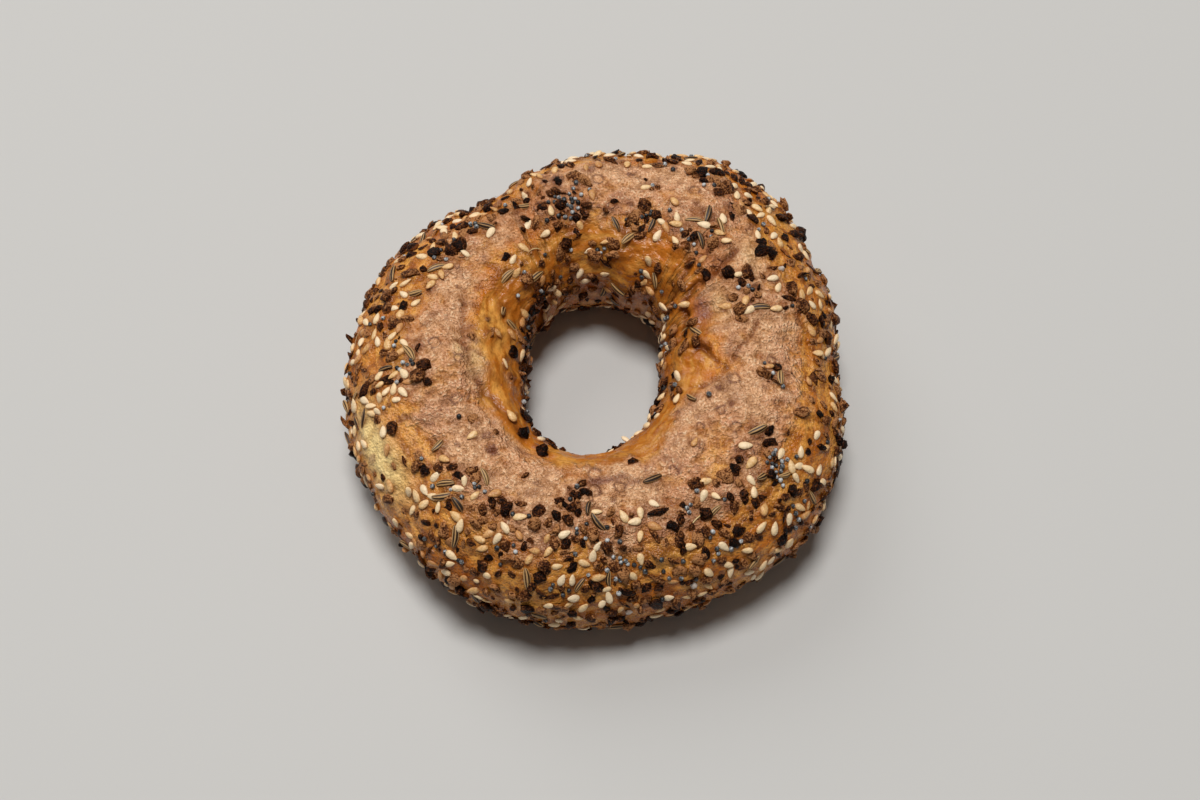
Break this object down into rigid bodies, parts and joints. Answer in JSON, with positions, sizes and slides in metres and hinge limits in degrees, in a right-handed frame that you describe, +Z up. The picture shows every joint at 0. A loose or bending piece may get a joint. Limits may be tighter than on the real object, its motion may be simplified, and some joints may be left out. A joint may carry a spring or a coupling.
{
  "type": "bagel",
  "caption": "Hand-rolled ring of baked bread dough with an open hole and seeds and toasted flakes stuck to its sides.",
  "frame": {"origin": "under the middle of the bagel, on the face that it rests on", "axes": "+Z up through the hole, +X to the right and +Y away from the viewer, with the ring's longest way along Y"},
  "size_m": [0.1147, 0.1193, 0.0356],
  "materials": {
    "crust": "baked bread crust, matte pinkish tan with fine blisters on the crown, glossy amber on the sides",
    "sesame": "hulled sesame seed, cream, lightly toasted, satin",
    "toasted_flakes": "toasted dried onion and garlic, dark brown, rough",
    "caraway": "ribbed brown seed with paler ribs, dull",
    "poppy": "blue-grey poppy seed, finely pitted",
    "salt": "coarse salt crystal, cloudy white"
  },
  "bodies": {
    "root": {"bagel": "crust"}
  },
  "joints": []
}
